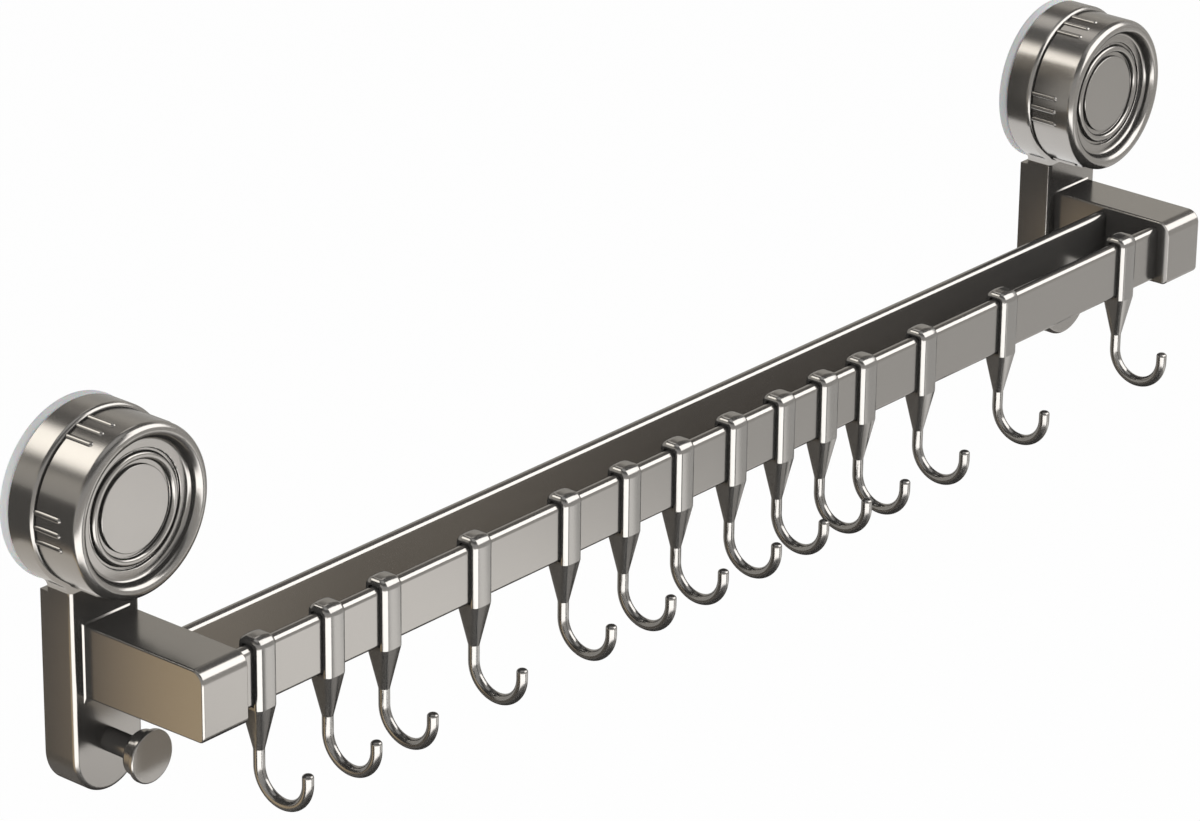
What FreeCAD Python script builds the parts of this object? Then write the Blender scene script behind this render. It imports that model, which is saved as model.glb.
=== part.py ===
import FreeCAD
import Part
import math
import os

# A towel rack that hangs on two suction cups, with hooks that slide on its front bar.
# X runs along the bar, Z is up, and the wall is the plane Y = 0 with the room at -Y.
# The origin is the middle of the left cup on the wall. Distances out from the wall are called
# "out" below, so a point at out = 16 lies at Y = -16. All sizes are in millimetres.

# Layout of the rack.
CUP_SPACING = 630.6

# Suction pad, a soft disc pressed flat on the wall.
PAD_RADIUS = 36.9
PAD_THICKNESS = 4.7
PAD_BOSS_RADIUS = 14.0
PAD_BOSS_OUT = 7.3

# Pull stud, moulded into the pad. Its square neck stops it turning in the backplate.
STUD_FLANGE_RADIUS = 10.0
STUD_FLANGE_BACK_OUT = 2.6
STUD_FLANGE_THICKNESS = 1.5
STUD_SQUARE = 9.0
STUD_SQUARE_END_OUT = 16.4
STUD_RADIUS = 4.0
STUD_TIP_OUT = 30.5
STUD_FIT = 0.05
SQUARE_FIT = 0.15

# Backplate, a ring with a strap below it, like a keyhole.
RING_PAST_PAD = 0.3
RING_RADIUS = PAD_RADIUS + RING_PAST_PAD
RING_BACK_OUT = PAD_THICKNESS
PLATE_FRONT_OUT = 17.25
PLATE_EDGE_ROUND = 1.8
PLATE_WEB = 4.0
RING_WALL = 4.6
HUB_RADIUS = 9.5
HUB_BACK_OUT = 9.3
STRAP_WIDTH = 36.2
STRAP_BOTTOM_Z = -124.1
STRAP_BACK_OUT = 0.4
STRAP_WALL = 2.2
STRAP_FRONT_WALL = 3.5
STRAP_JOIN_ROUND = 6.0
STRAP_TOP_Z = -37.2
STRAP_PAST_PAD = 0.9

# Twist cap, with five groups of three grip ribs.
CAP_RADIUS = 35.4
CAP_GAP = 0.3
CAP_FRONT_OUT = 39.75
CAP_WALL = 2.2
CAP_RIM_ROUND = 3.15
CAP_RIM_INNER_ROUND = 3.1
CAP_RIM_INNER_RADIUS = 29.1
CAP_FLOOR_ROUND = 1.6
CAP_FLOOR_OUT = 34.9
CAP_WEB_BACK_OUT = 32.2
FLOOR_INNER_RADIUS = 24.2
BEAD_OUTER_RADIUS = 22.9
BEAD_INNER_RADIUS = 19.7
BEAD_OUT = 35.6
BEAD_ROUND = 1.25
CAP_BOSS_RADIUS = 10.5
CAP_BOSS_BACK_OUT = 18.05
RIB_GROUPS = 5
RIB_PER_GROUP = 3
RIB_STEP_DEG = 10.0
RIB_FIRST_GROUP_DEG = 181.5
RIB_RADIUS = 1.35
RIB_RISE = 0.85
RIB_END_OUT = 31.0

# Disc in the middle of the cap.
DISC_RADIUS = 17.7
DISC_THICKNESS = 1.2

# Threaded insert, pressed into the cap.
INSERT_RADIUS = 7.5
INSERT_BACK_OUT = 18.55

# Arm, a box that stands out from the strap.
ARM_WIDTH = 24.6
ARM_TOP_Z = -49.6
ARM_HEIGHT = 30.0
ARM_DROP_AT_PLATE = 0.9
ARM_FRONT_OUT = 81.05
ARM_CORNER_ROUND = 5.7
ARM_BOTTOM_ROUND = 2.8
ARM_SIDE_ROUND = 0.9
ARM_FOOT = 0.6
ARM_FOOT_BELOW = 2.4

# Front bar and rear rail, the same flat tube with round edges, at two distances from the wall.
BAR_DEPTH = 5.8
BAR_HEIGHT = 25.5
BAR_ROUND = 2.8
BAR_BOTTOM_ROUND = 1.5
BAR_WALL = 1.0
BAR_SET_BACK = 5.85
BAR_DROP = 0.35
RAIL_BACK_OUT = 40.4
BAR_IN_ARM = 9.0

# Hook: a loop round the bar, a taper and a round rod bent into a J.
HOOK_WIDTH = 11.0
HOOK_WALL = 2.9
HOOK_CLEARANCE = 0.15
HOOK_EDGE_ROUND = 2.5
HOOK_CROWN_RADIUS = 22.0
HOOK_TOP_ROUND = 4.2
HOOK_FLOOR_GAP = 0.25
HOOK_FLOOR = 1.2
HOOK_TAPER = 18.8
HOOK_STRAIGHT = 6.9
HOOK_ROD_RADIUS = 2.35
HOOK_BEND_RADIUS = 12.9
HOOK_TIP_RISE = 4.2
HOOK_TIP_ROUND = 1.3
# Middle of each hook along the bar, as the hooks stand in the photograph, in percent of the way
# from cup to cup.
HOOK_PLACES = [
    4.15477, 10.24421, 15.38218, 23.77101, 32.44529, 38.42372, 43.81541,
    49.39740, 54.48779, 59.16587, 63.43165, 70.20298, 79.57501, 93.97399,
]

# Peg on the left strap.
PEG_Z = -102.6
PEG_NECK_RADIUS = 4.75
PEG_COLLAR_RADIUS = 9.6
PEG_COLLAR_BACK_OUT = 33.4
PEG_HEAD_RADIUS = 11.1
PEG_HEAD_BACK_OUT = 38.1
PEG_FRONT_OUT = 40.7

# Screws, driven from behind the strap.
SCREW_RADIUS = 2.0
SCREW_HOLE_RADIUS = 2.15
THREAD_FIT = 0.03
SCREW_HEAD_RADIUS = 3.8
SCREW_HEAD_HEIGHT = 2.2
ARM_SCREW_LENGTH = 14.0
PEG_SCREW_LENGTH = 12.0
ARM_SCREW_PITCH = 15.0
CROSS_LENGTH = 4.4
CROSS_WIDTH = 1.0
CROSS_DEPTH = 1.3

# Sizes that follow from the ones above.
STRAP_HALF = STRAP_WIDTH / 2
STRAP_CENTRE_Z = STRAP_BOTTOM_Z + STRAP_HALF
STRAP_POCKET_FRONT_OUT = PLATE_FRONT_OUT - STRAP_FRONT_WALL
CAP_BACK_OUT = PLATE_FRONT_OUT + CAP_GAP
ARM_BOTTOM_Z = ARM_TOP_Z - ARM_HEIGHT
ARM_MIDDLE_Z = ARM_TOP_Z - ARM_HEIGHT / 2
BAR_TOP_Z = ARM_MIDDLE_Z - BAR_DROP + BAR_HEIGHT / 2
BAR_BOTTOM_Z = ARM_MIDDLE_Z - BAR_DROP - BAR_HEIGHT / 2
BAR_BACK_OUT = ARM_FRONT_OUT - BAR_SET_BACK - BAR_DEPTH
DISC_BACK_OUT = CAP_FLOOR_OUT - DISC_THICKNESS
GROOVE_OUT = DISC_BACK_OUT
BAR_START_X = ARM_WIDTH / 2 - BAR_IN_ARM
BAR_END_X = CUP_SPACING - BAR_START_X
HOOK_HALF_DEPTH = BAR_DEPTH / 2 + HOOK_CLEARANCE + HOOK_WALL


def vec(x, out, z):
    """A point or direction, given its distance out from the wall."""
    return FreeCAD.Vector(x, -out, z)


def rounding(before, here, after, radius):
    """Start, middle and end of the arc that rounds one corner of an outline."""
    back = FreeCAD.Vector(before[0] - here[0], before[1] - here[1], 0).normalize()
    on = FreeCAD.Vector(after[0] - here[0], after[1] - here[1], 0).normalize()
    half = math.acos(max(-1.0, min(1.0, back.dot(on)))) / 2
    reach = radius / math.tan(half)
    corner = FreeCAD.Vector(here[0], here[1], 0)
    inward = (back + on).normalize()
    middle = corner + inward * (radius / math.sin(half) - radius)
    return corner + back * reach, middle, corner + on * reach


def outline(points, place):
    """A closed wire through (a, b, corner radius) points, laid in space by place(a, b)."""
    count = len(points)
    corners = []
    for i in range(count):
        before = points[i - 1]
        here = points[i]
        after = points[(i + 1) % count]
        if here[2] > 0:
            corners.append(rounding(before, here, after, here[2]))
        else:
            spot = FreeCAD.Vector(here[0], here[1], 0)
            corners.append((spot, spot, spot))
    edges = []
    for i in range(count):
        start, middle, end = [place(p.x, p.y) for p in corners[i]]
        if points[i][2] > 0:
            edges.append(Part.Arc(start, middle, end).toShape())
        following = corners[(i + 1) % count][0]
        following = place(following.x, following.y)
        if (following - end).Length > 1e-6:
            edges.append(Part.LineSegment(end, following).toShape())
    return Part.Wire(edges)


def turned(points, x, z):
    """A solid of revolution about a line out from the wall; points are (radius, out, rounding)."""
    wire = outline(points, lambda radius, out: vec(x + radius, out, z))
    return Part.Face(wire).revolve(vec(x, 0, z), vec(0, 1, 0), 360)


def post(x, z, radius, out_from, out_to):
    """A round bar that runs out from the wall."""
    return Part.makeCylinder(radius, out_to - out_from, vec(x, out_from, z), vec(0, 1, 0))


def block(x_from, x_to, out_from, out_to, z_from, z_to):
    """A plain box, given its limits."""
    size = (x_to - x_from, out_to - out_from, z_to - z_from)
    return Part.makeBox(size[0], size[1], size[2], FreeCAD.Vector(x_from, -out_to, z_from))


def along_bar(points, x_from, x_to):
    """An outline in (out, z) points, drawn out along the bar."""
    wire = outline(points, lambda out, z: vec(x_from, out, z))
    return Part.Face(wire).extrude(FreeCAD.Vector(x_to - x_from, 0, 0))


def one_solid(shape):
    """The shape as a single clean solid."""
    shape = shape.removeSplitter()
    if len(shape.Solids) != 1:
        raise ValueError("expected one solid, got %d" % len(shape.Solids))
    return shape.Solids[0]


def round_edges(shape, radius, wanted):
    """The shape with the edges rounded for which wanted(edge) is true."""
    edges = [edge for edge in shape.Edges if wanted(edge)]
    return shape.makeFillet(radius, edges)


def suction_pad(x):
    points = [
        (0.0, 0.0, 0),
        (PAD_RADIUS, 0.0, 0),
        (PAD_RADIUS, 1.2, 0.8),
        (PAD_RADIUS - 0.4, PAD_THICKNESS, 0),
        (PAD_BOSS_RADIUS + 1.0, PAD_THICKNESS, 0.6),
        (PAD_BOSS_RADIUS, PAD_BOSS_OUT, 0.8),
        (0.0, PAD_BOSS_OUT, 0),
    ]
    pad = turned(points, x, 0)
    back = STUD_FLANGE_BACK_OUT - STUD_FIT
    front = STUD_FLANGE_BACK_OUT + STUD_FLANGE_THICKNESS + STUD_FIT
    pad = pad.cut(post(x, 0, STUD_FLANGE_RADIUS + STUD_FIT, back, front))
    half = STUD_SQUARE / 2 + STUD_FIT
    pad = pad.cut(block(x - half, x + half, front - 0.5, PAD_BOSS_OUT + 1, -half, half))
    return one_solid(pad)


def pull_stud(x):
    flange_front = STUD_FLANGE_BACK_OUT + STUD_FLANGE_THICKNESS
    half = STUD_SQUARE / 2
    stud = post(x, 0, STUD_FLANGE_RADIUS, STUD_FLANGE_BACK_OUT, flange_front)
    stud = stud.fuse(block(x - half, x + half, flange_front - 0.5, STUD_SQUARE_END_OUT, -half, half))
    stem = [
        (0.0, STUD_SQUARE_END_OUT - 1, 0),
        (STUD_RADIUS, STUD_SQUARE_END_OUT - 1, 0),
        (STUD_RADIUS, STUD_TIP_OUT - 0.8, 0),
        (STUD_RADIUS - 0.8, STUD_TIP_OUT, 0),
        (0.0, STUD_TIP_OUT, 0),
    ]
    return one_solid(stud.fuse(turned(stem, x, 0)))


def keyhole_wire(x, out):
    """The backplate's outline: the ring, two small inward rounds and the strap."""
    join = STRAP_JOIN_ROUND
    join_x = STRAP_HALF + join
    join_z = -math.sqrt((RING_RADIUS + join) ** 2 - join_x ** 2)
    share = RING_RADIUS / (RING_RADIUS + join)
    turn = math.atan2(join_z, join_x)
    side_x = join_x - join * math.cos((math.pi + math.pi + turn) / 2 - math.pi)
    side_z = join_z - join * math.sin((math.pi + math.pi + turn) / 2 - math.pi)

    def spot(sx, sz):
        return vec(x + sx, out, sz)

    right_ring = (join_x * share, join_z * share)
    edges = [
        Part.Arc(spot(STRAP_HALF, join_z), spot(side_x, side_z), spot(*right_ring)).toShape(),
        Part.Arc(spot(*right_ring), spot(0, RING_RADIUS), spot(-right_ring[0], right_ring[1])).toShape(),
        Part.Arc(spot(-right_ring[0], right_ring[1]), spot(-side_x, side_z), spot(-STRAP_HALF, join_z)).toShape(),
        Part.LineSegment(spot(-STRAP_HALF, join_z), spot(-STRAP_HALF, STRAP_CENTRE_Z)).toShape(),
        Part.Arc(
            spot(-STRAP_HALF, STRAP_CENTRE_Z), spot(0, STRAP_BOTTOM_Z), spot(STRAP_HALF, STRAP_CENTRE_Z)
        ).toShape(),
        Part.LineSegment(spot(STRAP_HALF, STRAP_CENTRE_Z), spot(STRAP_HALF, join_z)).toShape(),
    ]
    return Part.Wire(edges)


def strap_shape(x, half, top_z, out_from, out_to):
    """A strap with a half-round lower end."""
    body = block(x - half, x + half, out_from, out_to, STRAP_CENTRE_Z, top_z)
    return body.fuse(post(x, STRAP_CENTRE_Z, half, out_from, out_to))


def screw_spots():
    """Heights of the two arm screws."""
    return [ARM_MIDDLE_Z + ARM_SCREW_PITCH / 2, ARM_MIDDLE_Z - ARM_SCREW_PITCH / 2]


def backplate(x, has_peg):
    depth = PLATE_FRONT_OUT - RING_BACK_OUT
    plate = Part.Face(keyhole_wire(x, RING_BACK_OUT)).extrude(vec(0, depth, 0))

    def on_front(edge):
        return all(abs(v.Y + PLATE_FRONT_OUT) < 1e-6 for v in edge.Vertexes)

    plate = round_edges(plate, PLATE_EDGE_ROUND, on_front)
    rear = strap_shape(x, STRAP_HALF, STRAP_TOP_Z, STRAP_BACK_OUT, RING_BACK_OUT + 0.5)
    pad_room = PAD_RADIUS + STRAP_PAST_PAD
    rear = rear.cut(post(x, 0, pad_room, STRAP_BACK_OUT - 1, RING_BACK_OUT))
    plate = plate.fuse(rear)
    web_back = PLATE_FRONT_OUT - PLATE_WEB
    plate = plate.cut(post(x, 0, RING_RADIUS - RING_WALL, RING_BACK_OUT - 1, web_back))
    pocket_top = -pad_room - STRAP_WALL
    pocket = strap_shape(
        x, STRAP_HALF - STRAP_WALL, pocket_top, STRAP_BACK_OUT - 1, STRAP_POCKET_FRONT_OUT
    )
    plate = plate.cut(pocket)
    plate = plate.fuse(post(x, 0, HUB_RADIUS, HUB_BACK_OUT, web_back + 0.5))
    half = STUD_SQUARE / 2 + SQUARE_FIT
    plate = plate.cut(block(x - half, x + half, HUB_BACK_OUT - 1, PLATE_FRONT_OUT + 1, -half, half))
    spots = screw_spots()
    if has_peg:
        spots = spots + [PEG_Z]
    for z in spots:
        plate = plate.cut(post(x, z, SCREW_HOLE_RADIUS, STRAP_POCKET_FRONT_OUT - 1, PLATE_FRONT_OUT + 1))
    return one_solid(plate)


def grip_rib(x, angle_deg):
    """One rib of the cap: a round bar with a ball end, sunk into the barrel."""
    reach = CAP_RADIUS + RIB_RISE - RIB_RADIUS
    angle = math.radians(angle_deg)
    rib_x = x + reach * math.cos(angle)
    rib_z = reach * math.sin(angle)
    end = RIB_END_OUT - RIB_RADIUS
    bar = post(rib_x, rib_z, RIB_RADIUS, CAP_BACK_OUT, end)
    return bar.fuse(Part.makeSphere(RIB_RADIUS, vec(rib_x, end, rib_z)))


def rib_angles():
    """Angles of all the grip ribs round the cap."""
    angles = []
    for group in range(RIB_GROUPS):
        middle = RIB_FIRST_GROUP_DEG + group * 360.0 / RIB_GROUPS
        for rib in range(RIB_PER_GROUP):
            angles.append(middle + (rib - (RIB_PER_GROUP - 1) / 2) * RIB_STEP_DEG)
    return angles


def twist_cap(x):
    inner = CAP_RADIUS - CAP_WALL
    points = [
        (inner, CAP_BACK_OUT, 0),
        (CAP_RADIUS, CAP_BACK_OUT, 0.4),
        (CAP_RADIUS, CAP_FRONT_OUT, CAP_RIM_ROUND),
        (CAP_RIM_INNER_RADIUS, CAP_FRONT_OUT, CAP_RIM_INNER_ROUND),
        (CAP_RIM_INNER_RADIUS, CAP_FLOOR_OUT, CAP_FLOOR_ROUND),
        (FLOOR_INNER_RADIUS, CAP_FLOOR_OUT, 0.35),
        (FLOOR_INNER_RADIUS, GROOVE_OUT, 0.3),
        (BEAD_OUTER_RADIUS, GROOVE_OUT, 0.3),
        (BEAD_OUTER_RADIUS, BEAD_OUT, BEAD_ROUND),
        (BEAD_INNER_RADIUS, BEAD_OUT, BEAD_ROUND),
        (BEAD_INNER_RADIUS, GROOVE_OUT, 0.3),
        (0.0, GROOVE_OUT, 0),
        (0.0, CAP_WEB_BACK_OUT, 0),
        (INSERT_RADIUS, CAP_WEB_BACK_OUT, 0),
        (INSERT_RADIUS, CAP_BOSS_BACK_OUT, 0),
        (CAP_BOSS_RADIUS, CAP_BOSS_BACK_OUT, 0),
        (CAP_BOSS_RADIUS, CAP_WEB_BACK_OUT, 1.0),
        (inner, CAP_WEB_BACK_OUT, 1.5),
    ]
    cap = turned(points, x, 0)
    hollow = post(x, 0, inner - 0.5, CAP_BACK_OUT, CAP_WEB_BACK_OUT - 0.5)
    for angle in rib_angles():
        cap = cap.fuse(grip_rib(x, angle).cut(hollow))
    return one_solid(cap)


def cap_disc(x):
    front = DISC_BACK_OUT + DISC_THICKNESS
    points = [
        (0.0, DISC_BACK_OUT, 0),
        (DISC_RADIUS, DISC_BACK_OUT, 0),
        (DISC_RADIUS, front, 0.35),
        (0.0, front, 0),
    ]
    return one_solid(turned(points, x, 0))


def cap_insert(x):
    bore = STUD_RADIUS + STUD_FIT
    points = [
        (bore, INSERT_BACK_OUT, 0),
        (INSERT_RADIUS, INSERT_BACK_OUT, 0),
        (INSERT_RADIUS, CAP_WEB_BACK_OUT, 0),
        (bore, CAP_WEB_BACK_OUT, 0),
    ]
    return one_solid(turned(points, x, 0))


def bar_outline(back_out, inset, corner):
    """Outline of the flat tube, shrunk by inset on every side."""
    low = BAR_BOTTOM_Z + inset
    high = BAR_TOP_Z - inset
    near = back_out + inset
    far = back_out + BAR_DEPTH - inset
    bottom = corner - BAR_ROUND + BAR_BOTTOM_ROUND
    return [(near, low, bottom), (far, low, bottom), (far, high, corner), (near, high, corner)]


def flat_tube(back_out):
    tube = along_bar(bar_outline(back_out, 0.0, BAR_ROUND), BAR_START_X, BAR_END_X)
    inner_round = BAR_ROUND - BAR_WALL
    bore = along_bar(bar_outline(back_out, BAR_WALL, inner_round), BAR_START_X - 1, BAR_END_X + 1)
    return one_solid(tube.cut(bore))


def arm_foot(x):
    """The flare where the arm meets the backplate."""

    def section(out, grow):
        half = ARM_WIDTH / 2 + grow
        low = ARM_BOTTOM_Z - ARM_DROP_AT_PLATE - grow * ARM_FOOT_BELOW / ARM_FOOT
        high = ARM_TOP_Z + grow
        spots = [vec(x - half, out, low), vec(x + half, out, low), vec(x + half, out, high)]
        spots.append(vec(x - half, out, high))
        return Part.makePolygon(spots + [spots[0]])

    near = section(PLATE_FRONT_OUT, ARM_FOOT)
    far = section(PLATE_FRONT_OUT + ARM_FOOT, 0.0)
    return Part.makeLoft([near, far], True, True)


def arm(x, toward):
    """Box arm; toward is +1 if the bar leaves it to the right and -1 to the left."""
    half = ARM_WIDTH / 2
    points = [
        (PLATE_FRONT_OUT, ARM_BOTTOM_Z - ARM_DROP_AT_PLATE, 0),
        (ARM_FRONT_OUT, ARM_BOTTOM_Z, ARM_BOTTOM_ROUND),
        (ARM_FRONT_OUT, ARM_TOP_Z, ARM_CORNER_ROUND),
        (PLATE_FRONT_OUT, ARM_TOP_Z, 0),
    ]
    body = along_bar(points, x - half, x + half)

    def on_side(edge):
        ends = edge.Vertexes
        flat = all(abs(abs(v.X - x) - half) < 1e-6 for v in ends)
        same = abs(ends[0].X - ends[-1].X) < 1e-6
        at_plate = all(abs(v.Y + PLATE_FRONT_OUT) < 1e-6 for v in ends)
        return flat and same and not at_plate

    body = round_edges(body, ARM_SIDE_ROUND, on_side)
    body = body.fuse(arm_foot(x))
    inner_face = x + toward * half
    for back_out in (BAR_BACK_OUT, RAIL_BACK_OUT):
        ends = sorted([inner_face - toward * BAR_IN_ARM, inner_face + toward])
        body = body.cut(along_bar(bar_outline(back_out, 0.0, BAR_ROUND), ends[0], ends[1]))
    hole = SCREW_RADIUS + THREAD_FIT
    hole_end = STRAP_POCKET_FRONT_OUT + ARM_SCREW_LENGTH + 1
    for z in screw_spots():
        body = body.cut(post(x, z, hole, PLATE_FRONT_OUT - 1, hole_end))
    return one_solid(body)


def screw(x, z, length):
    """A pan-head screw with a cross recess; its head bears on the strap's front wall from behind."""
    seat = STRAP_POCKET_FRONT_OUT
    head_back = seat - SCREW_HEAD_HEIGHT
    points = [
        (0.0, head_back, 0),
        (SCREW_HEAD_RADIUS, head_back, 0.9),
        (SCREW_HEAD_RADIUS, seat, 0),
        (SCREW_RADIUS, seat, 0),
        (SCREW_RADIUS, seat + length - 0.7, 0),
        (SCREW_RADIUS - 0.7, seat + length, 0),
        (0.0, seat + length, 0),
    ]
    body = turned(points, x, z)
    long_half = CROSS_LENGTH / 2
    short_half = CROSS_WIDTH / 2
    floor = head_back + CROSS_DEPTH
    body = body.cut(
        block(x - long_half, x + long_half, head_back - 1, floor, z - short_half, z + short_half)
    )
    body = body.cut(
        block(x - short_half, x + short_half, head_back - 1, floor, z - long_half, z + long_half)
    )
    return one_solid(body)


def arm_screws(x):
    return Part.makeCompound([screw(x, z, ARM_SCREW_LENGTH) for z in screw_spots()])


def peg(x):
    bore = SCREW_RADIUS + THREAD_FIT
    bore_end = STRAP_POCKET_FRONT_OUT + PEG_SCREW_LENGTH + 1
    points = [
        (0.0, PLATE_FRONT_OUT, 0),
        (PEG_NECK_RADIUS, PLATE_FRONT_OUT, 0),
        (PEG_NECK_RADIUS, PEG_COLLAR_BACK_OUT, 0.8),
        (PEG_COLLAR_RADIUS, PEG_COLLAR_BACK_OUT, 1.4),
        (PEG_COLLAR_RADIUS, PEG_HEAD_BACK_OUT, 0),
        (PEG_HEAD_RADIUS, PEG_HEAD_BACK_OUT + 0.5, 0.4),
        (PEG_HEAD_RADIUS, PEG_FRONT_OUT, 0.7),
        (0.0, PEG_FRONT_OUT, 0),
    ]
    body = turned(points, x, PEG_Z)
    body = body.cut(post(x, PEG_Z, bore, PLATE_FRONT_OUT - 1, bore_end))
    return one_solid(body)


def crowned_side(place):
    """Edges of one crowned side of the hook, from left to right, laid by place(across, rise).

    The side is a wide arc with a round at each end; rise is measured from the bar outward.
    """
    half = HOOK_WIDTH / 2
    edge = HOOK_EDGE_ROUND
    crown = HOOK_CROWN_RADIUS
    crown_low = HOOK_WALL - crown
    edge_x = half - edge
    edge_rise = crown_low + math.sqrt((crown - edge) ** 2 - edge_x ** 2)
    lean = math.atan2(edge_x, edge_rise - crown_low)
    meet_x = crown * math.sin(lean)
    meet_rise = crown_low + crown * math.cos(lean)
    middle = (math.pi / 2 + lean) / 2
    round_x = edge_x + edge * math.sin(middle)
    round_rise = edge_rise + edge * math.cos(middle)
    edges = [
        Part.Arc(place(-half, edge_rise), place(-round_x, round_rise), place(-meet_x, meet_rise)).toShape(),
        Part.Arc(place(-meet_x, meet_rise), place(0, HOOK_WALL), place(meet_x, meet_rise)).toShape(),
        Part.Arc(place(meet_x, meet_rise), place(round_x, round_rise), place(half, edge_rise)).toShape(),
    ]
    return edges, half, edge_rise


def hook_section(place):
    """The loop's section as a face: flat where it meets the bar, crowned outside."""
    edges, half, edge_rise = crowned_side(place)
    edges.append(Part.LineSegment(place(half, edge_rise), place(half, 0)).toShape())
    edges.append(Part.LineSegment(place(half, 0), place(-half, 0)).toShape())
    edges.append(Part.LineSegment(place(-half, 0), place(-half, edge_rise)).toShape())
    return Part.Face(Part.Wire(edges))


def hook_loop(x, low_z):
    """The closed loop round the bar: two walls, two round corners, the top and the floor."""
    middle = BAR_BACK_OUT + BAR_DEPTH / 2
    inner = BAR_DEPTH / 2 + HOOK_CLEARANCE
    top_z = BAR_TOP_Z + HOOK_CLEARANCE + HOOK_WALL
    bend_z = top_z - HOOK_TOP_ROUND
    bend_reach = HOOK_HALF_DEPTH - HOOK_TOP_ROUND
    front = hook_section(lambda across, rise: vec(x + across, middle + inner + rise, low_z))
    front_wall = front.extrude(FreeCAD.Vector(0, 0, bend_z - low_z))
    front_top = hook_section(lambda across, rise: vec(x + across, middle + inner + rise, bend_z))
    front_bend = front_top.revolve(vec(x, middle + bend_reach, bend_z), FreeCAD.Vector(-1, 0, 0), 90)
    back = hook_section(lambda across, rise: vec(x + across, middle - inner - rise, low_z))
    back_wall = back.extrude(FreeCAD.Vector(0, 0, bend_z - low_z))
    back_top = hook_section(lambda across, rise: vec(x + across, middle - inner - rise, bend_z))
    back_bend = back_top.revolve(vec(x, middle - bend_reach, bend_z), FreeCAD.Vector(1, 0, 0), 90)
    lid = hook_section(lambda across, rise: vec(x + across, middle - bend_reach, top_z - HOOK_WALL + rise))
    top = lid.extrude(vec(0, 2 * bend_reach, 0))
    floor_z = BAR_BOTTOM_Z - HOOK_FLOOR_GAP
    half = HOOK_WIDTH / 2
    floor = block(x - half, x + half, middle - inner, middle + inner, low_z, floor_z)
    return front_wall.fuse([front_bend, top, back_bend, back_wall, floor])


def hook_taper(x, low_z, foot_z):
    """The block under the loop, which narrows into the rod."""
    middle = BAR_BACK_OUT + BAR_DEPTH / 2
    inner = BAR_DEPTH / 2 + HOOK_CLEARANCE
    front, half, edge_rise = crowned_side(lambda a, rise: vec(x + a, middle + inner + rise, low_z))
    back = crowned_side(lambda a, rise: vec(x - a, middle - inner - rise, low_z))[0]
    near = vec(x + half, middle + inner + edge_rise, low_z)
    far = vec(x + half, middle - inner - edge_rise, low_z)
    left_far = vec(x - half, middle - inner - edge_rise, low_z)
    left_near = vec(x - half, middle + inner + edge_rise, low_z)
    right_side = Part.LineSegment(near, far).toShape()
    left_side = Part.LineSegment(left_far, left_near).toShape()
    block_wire = Part.Wire(front + [right_side] + back + [left_side])

    rod = HOOK_ROD_RADIUS
    centre = vec(x, middle, foot_z)

    def on_rod(angle):
        return centre + FreeCAD.Vector(rod * math.cos(angle), rod * math.sin(angle), 0)

    angles = []
    for edge in front + [right_side] + back + [left_side]:
        start = edge.valueAt(edge.FirstParameter)
        angles.append(math.atan2(start.y - centre.y, start.x - centre.x))
    arcs = []
    for i in range(len(angles)):
        first = angles[i]
        last = angles[(i + 1) % len(angles)]
        while last < first:
            last += 2 * math.pi
        arcs.append(Part.Arc(on_rod(first), on_rod((first + last) / 2), on_rod(last)).toShape())
    return Part.makeLoft([block_wire, Part.Wire(arcs)], True, True)


def hook(x):
    middle = BAR_BACK_OUT + BAR_DEPTH / 2
    rod = HOOK_ROD_RADIUS
    low_z = BAR_BOTTOM_Z - HOOK_FLOOR_GAP - HOOK_FLOOR
    foot_z = low_z - HOOK_TAPER
    bend_z = foot_z - HOOK_STRAIGHT
    loop = hook_loop(x, low_z)
    taper = hook_taper(x, low_z, foot_z)
    straight = Part.makeCylinder(rod, HOOK_STRAIGHT, vec(x, middle, bend_z))
    ring = Part.Wire([Part.Circle(vec(x, middle, bend_z), FreeCAD.Vector(0, 0, 1), rod).toShape()])
    centre = vec(x, middle + HOOK_BEND_RADIUS, bend_z)
    bend = Part.Face(ring).revolve(centre, FreeCAD.Vector(-1, 0, 0), 180)
    tip_out = middle + 2 * HOOK_BEND_RADIUS
    tip = Part.makeCylinder(rod, HOOK_TIP_RISE, vec(x, tip_out, bend_z))
    tip_top = bend_z + HOOK_TIP_RISE

    def on_tip_end(edge):
        return all(abs(v.Z - tip_top) < 1e-6 for v in edge.Vertexes)

    tip = round_edges(tip, HOOK_TIP_ROUND, on_tip_end)
    return one_solid(loop.fuse([taper, straight, bend, tip]))


def write(name, shape):
    """Check the shape and save it."""
    if not shape.isValid():
        raise ValueError("%s is not a valid shape" % name)
    shape.exportStep("parts/%s.step" % name)
    print("%-20s solids %d  volume %.0f mm3" % (name, len(shape.Solids), shape.Volume))


def main():
    os.makedirs("parts", exist_ok=True)
    for side, x, toward in (("left", 0.0, 1), ("right", CUP_SPACING, -1)):
        write("suction_pad_" + side, suction_pad(x))
        write("pull_stud_" + side, pull_stud(x))
        write("backplate_" + side, backplate(x, side == "left"))
        write("twist_cap_" + side, twist_cap(x))
        write("cap_insert_" + side, cap_insert(x))
        write("cap_disc_" + side, cap_disc(x))
        write("arm_" + side, arm(x, toward))
        write("arm_screws_" + side, arm_screws(x))
    write("peg", peg(0.0))
    write("peg_screw", screw(0.0, PEG_Z, PEG_SCREW_LENGTH))
    write("front_bar", flat_tube(BAR_BACK_OUT))
    write("rear_rail", flat_tube(RAIL_BACK_OUT))
    one_hook = hook(0.0)
    for number, place in enumerate(HOOK_PLACES, 1):
        x = CUP_SPACING * place / 100
        write("hook_%02d" % number, one_hook.translated(FreeCAD.Vector(x, 0, 0)))


main()
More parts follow.
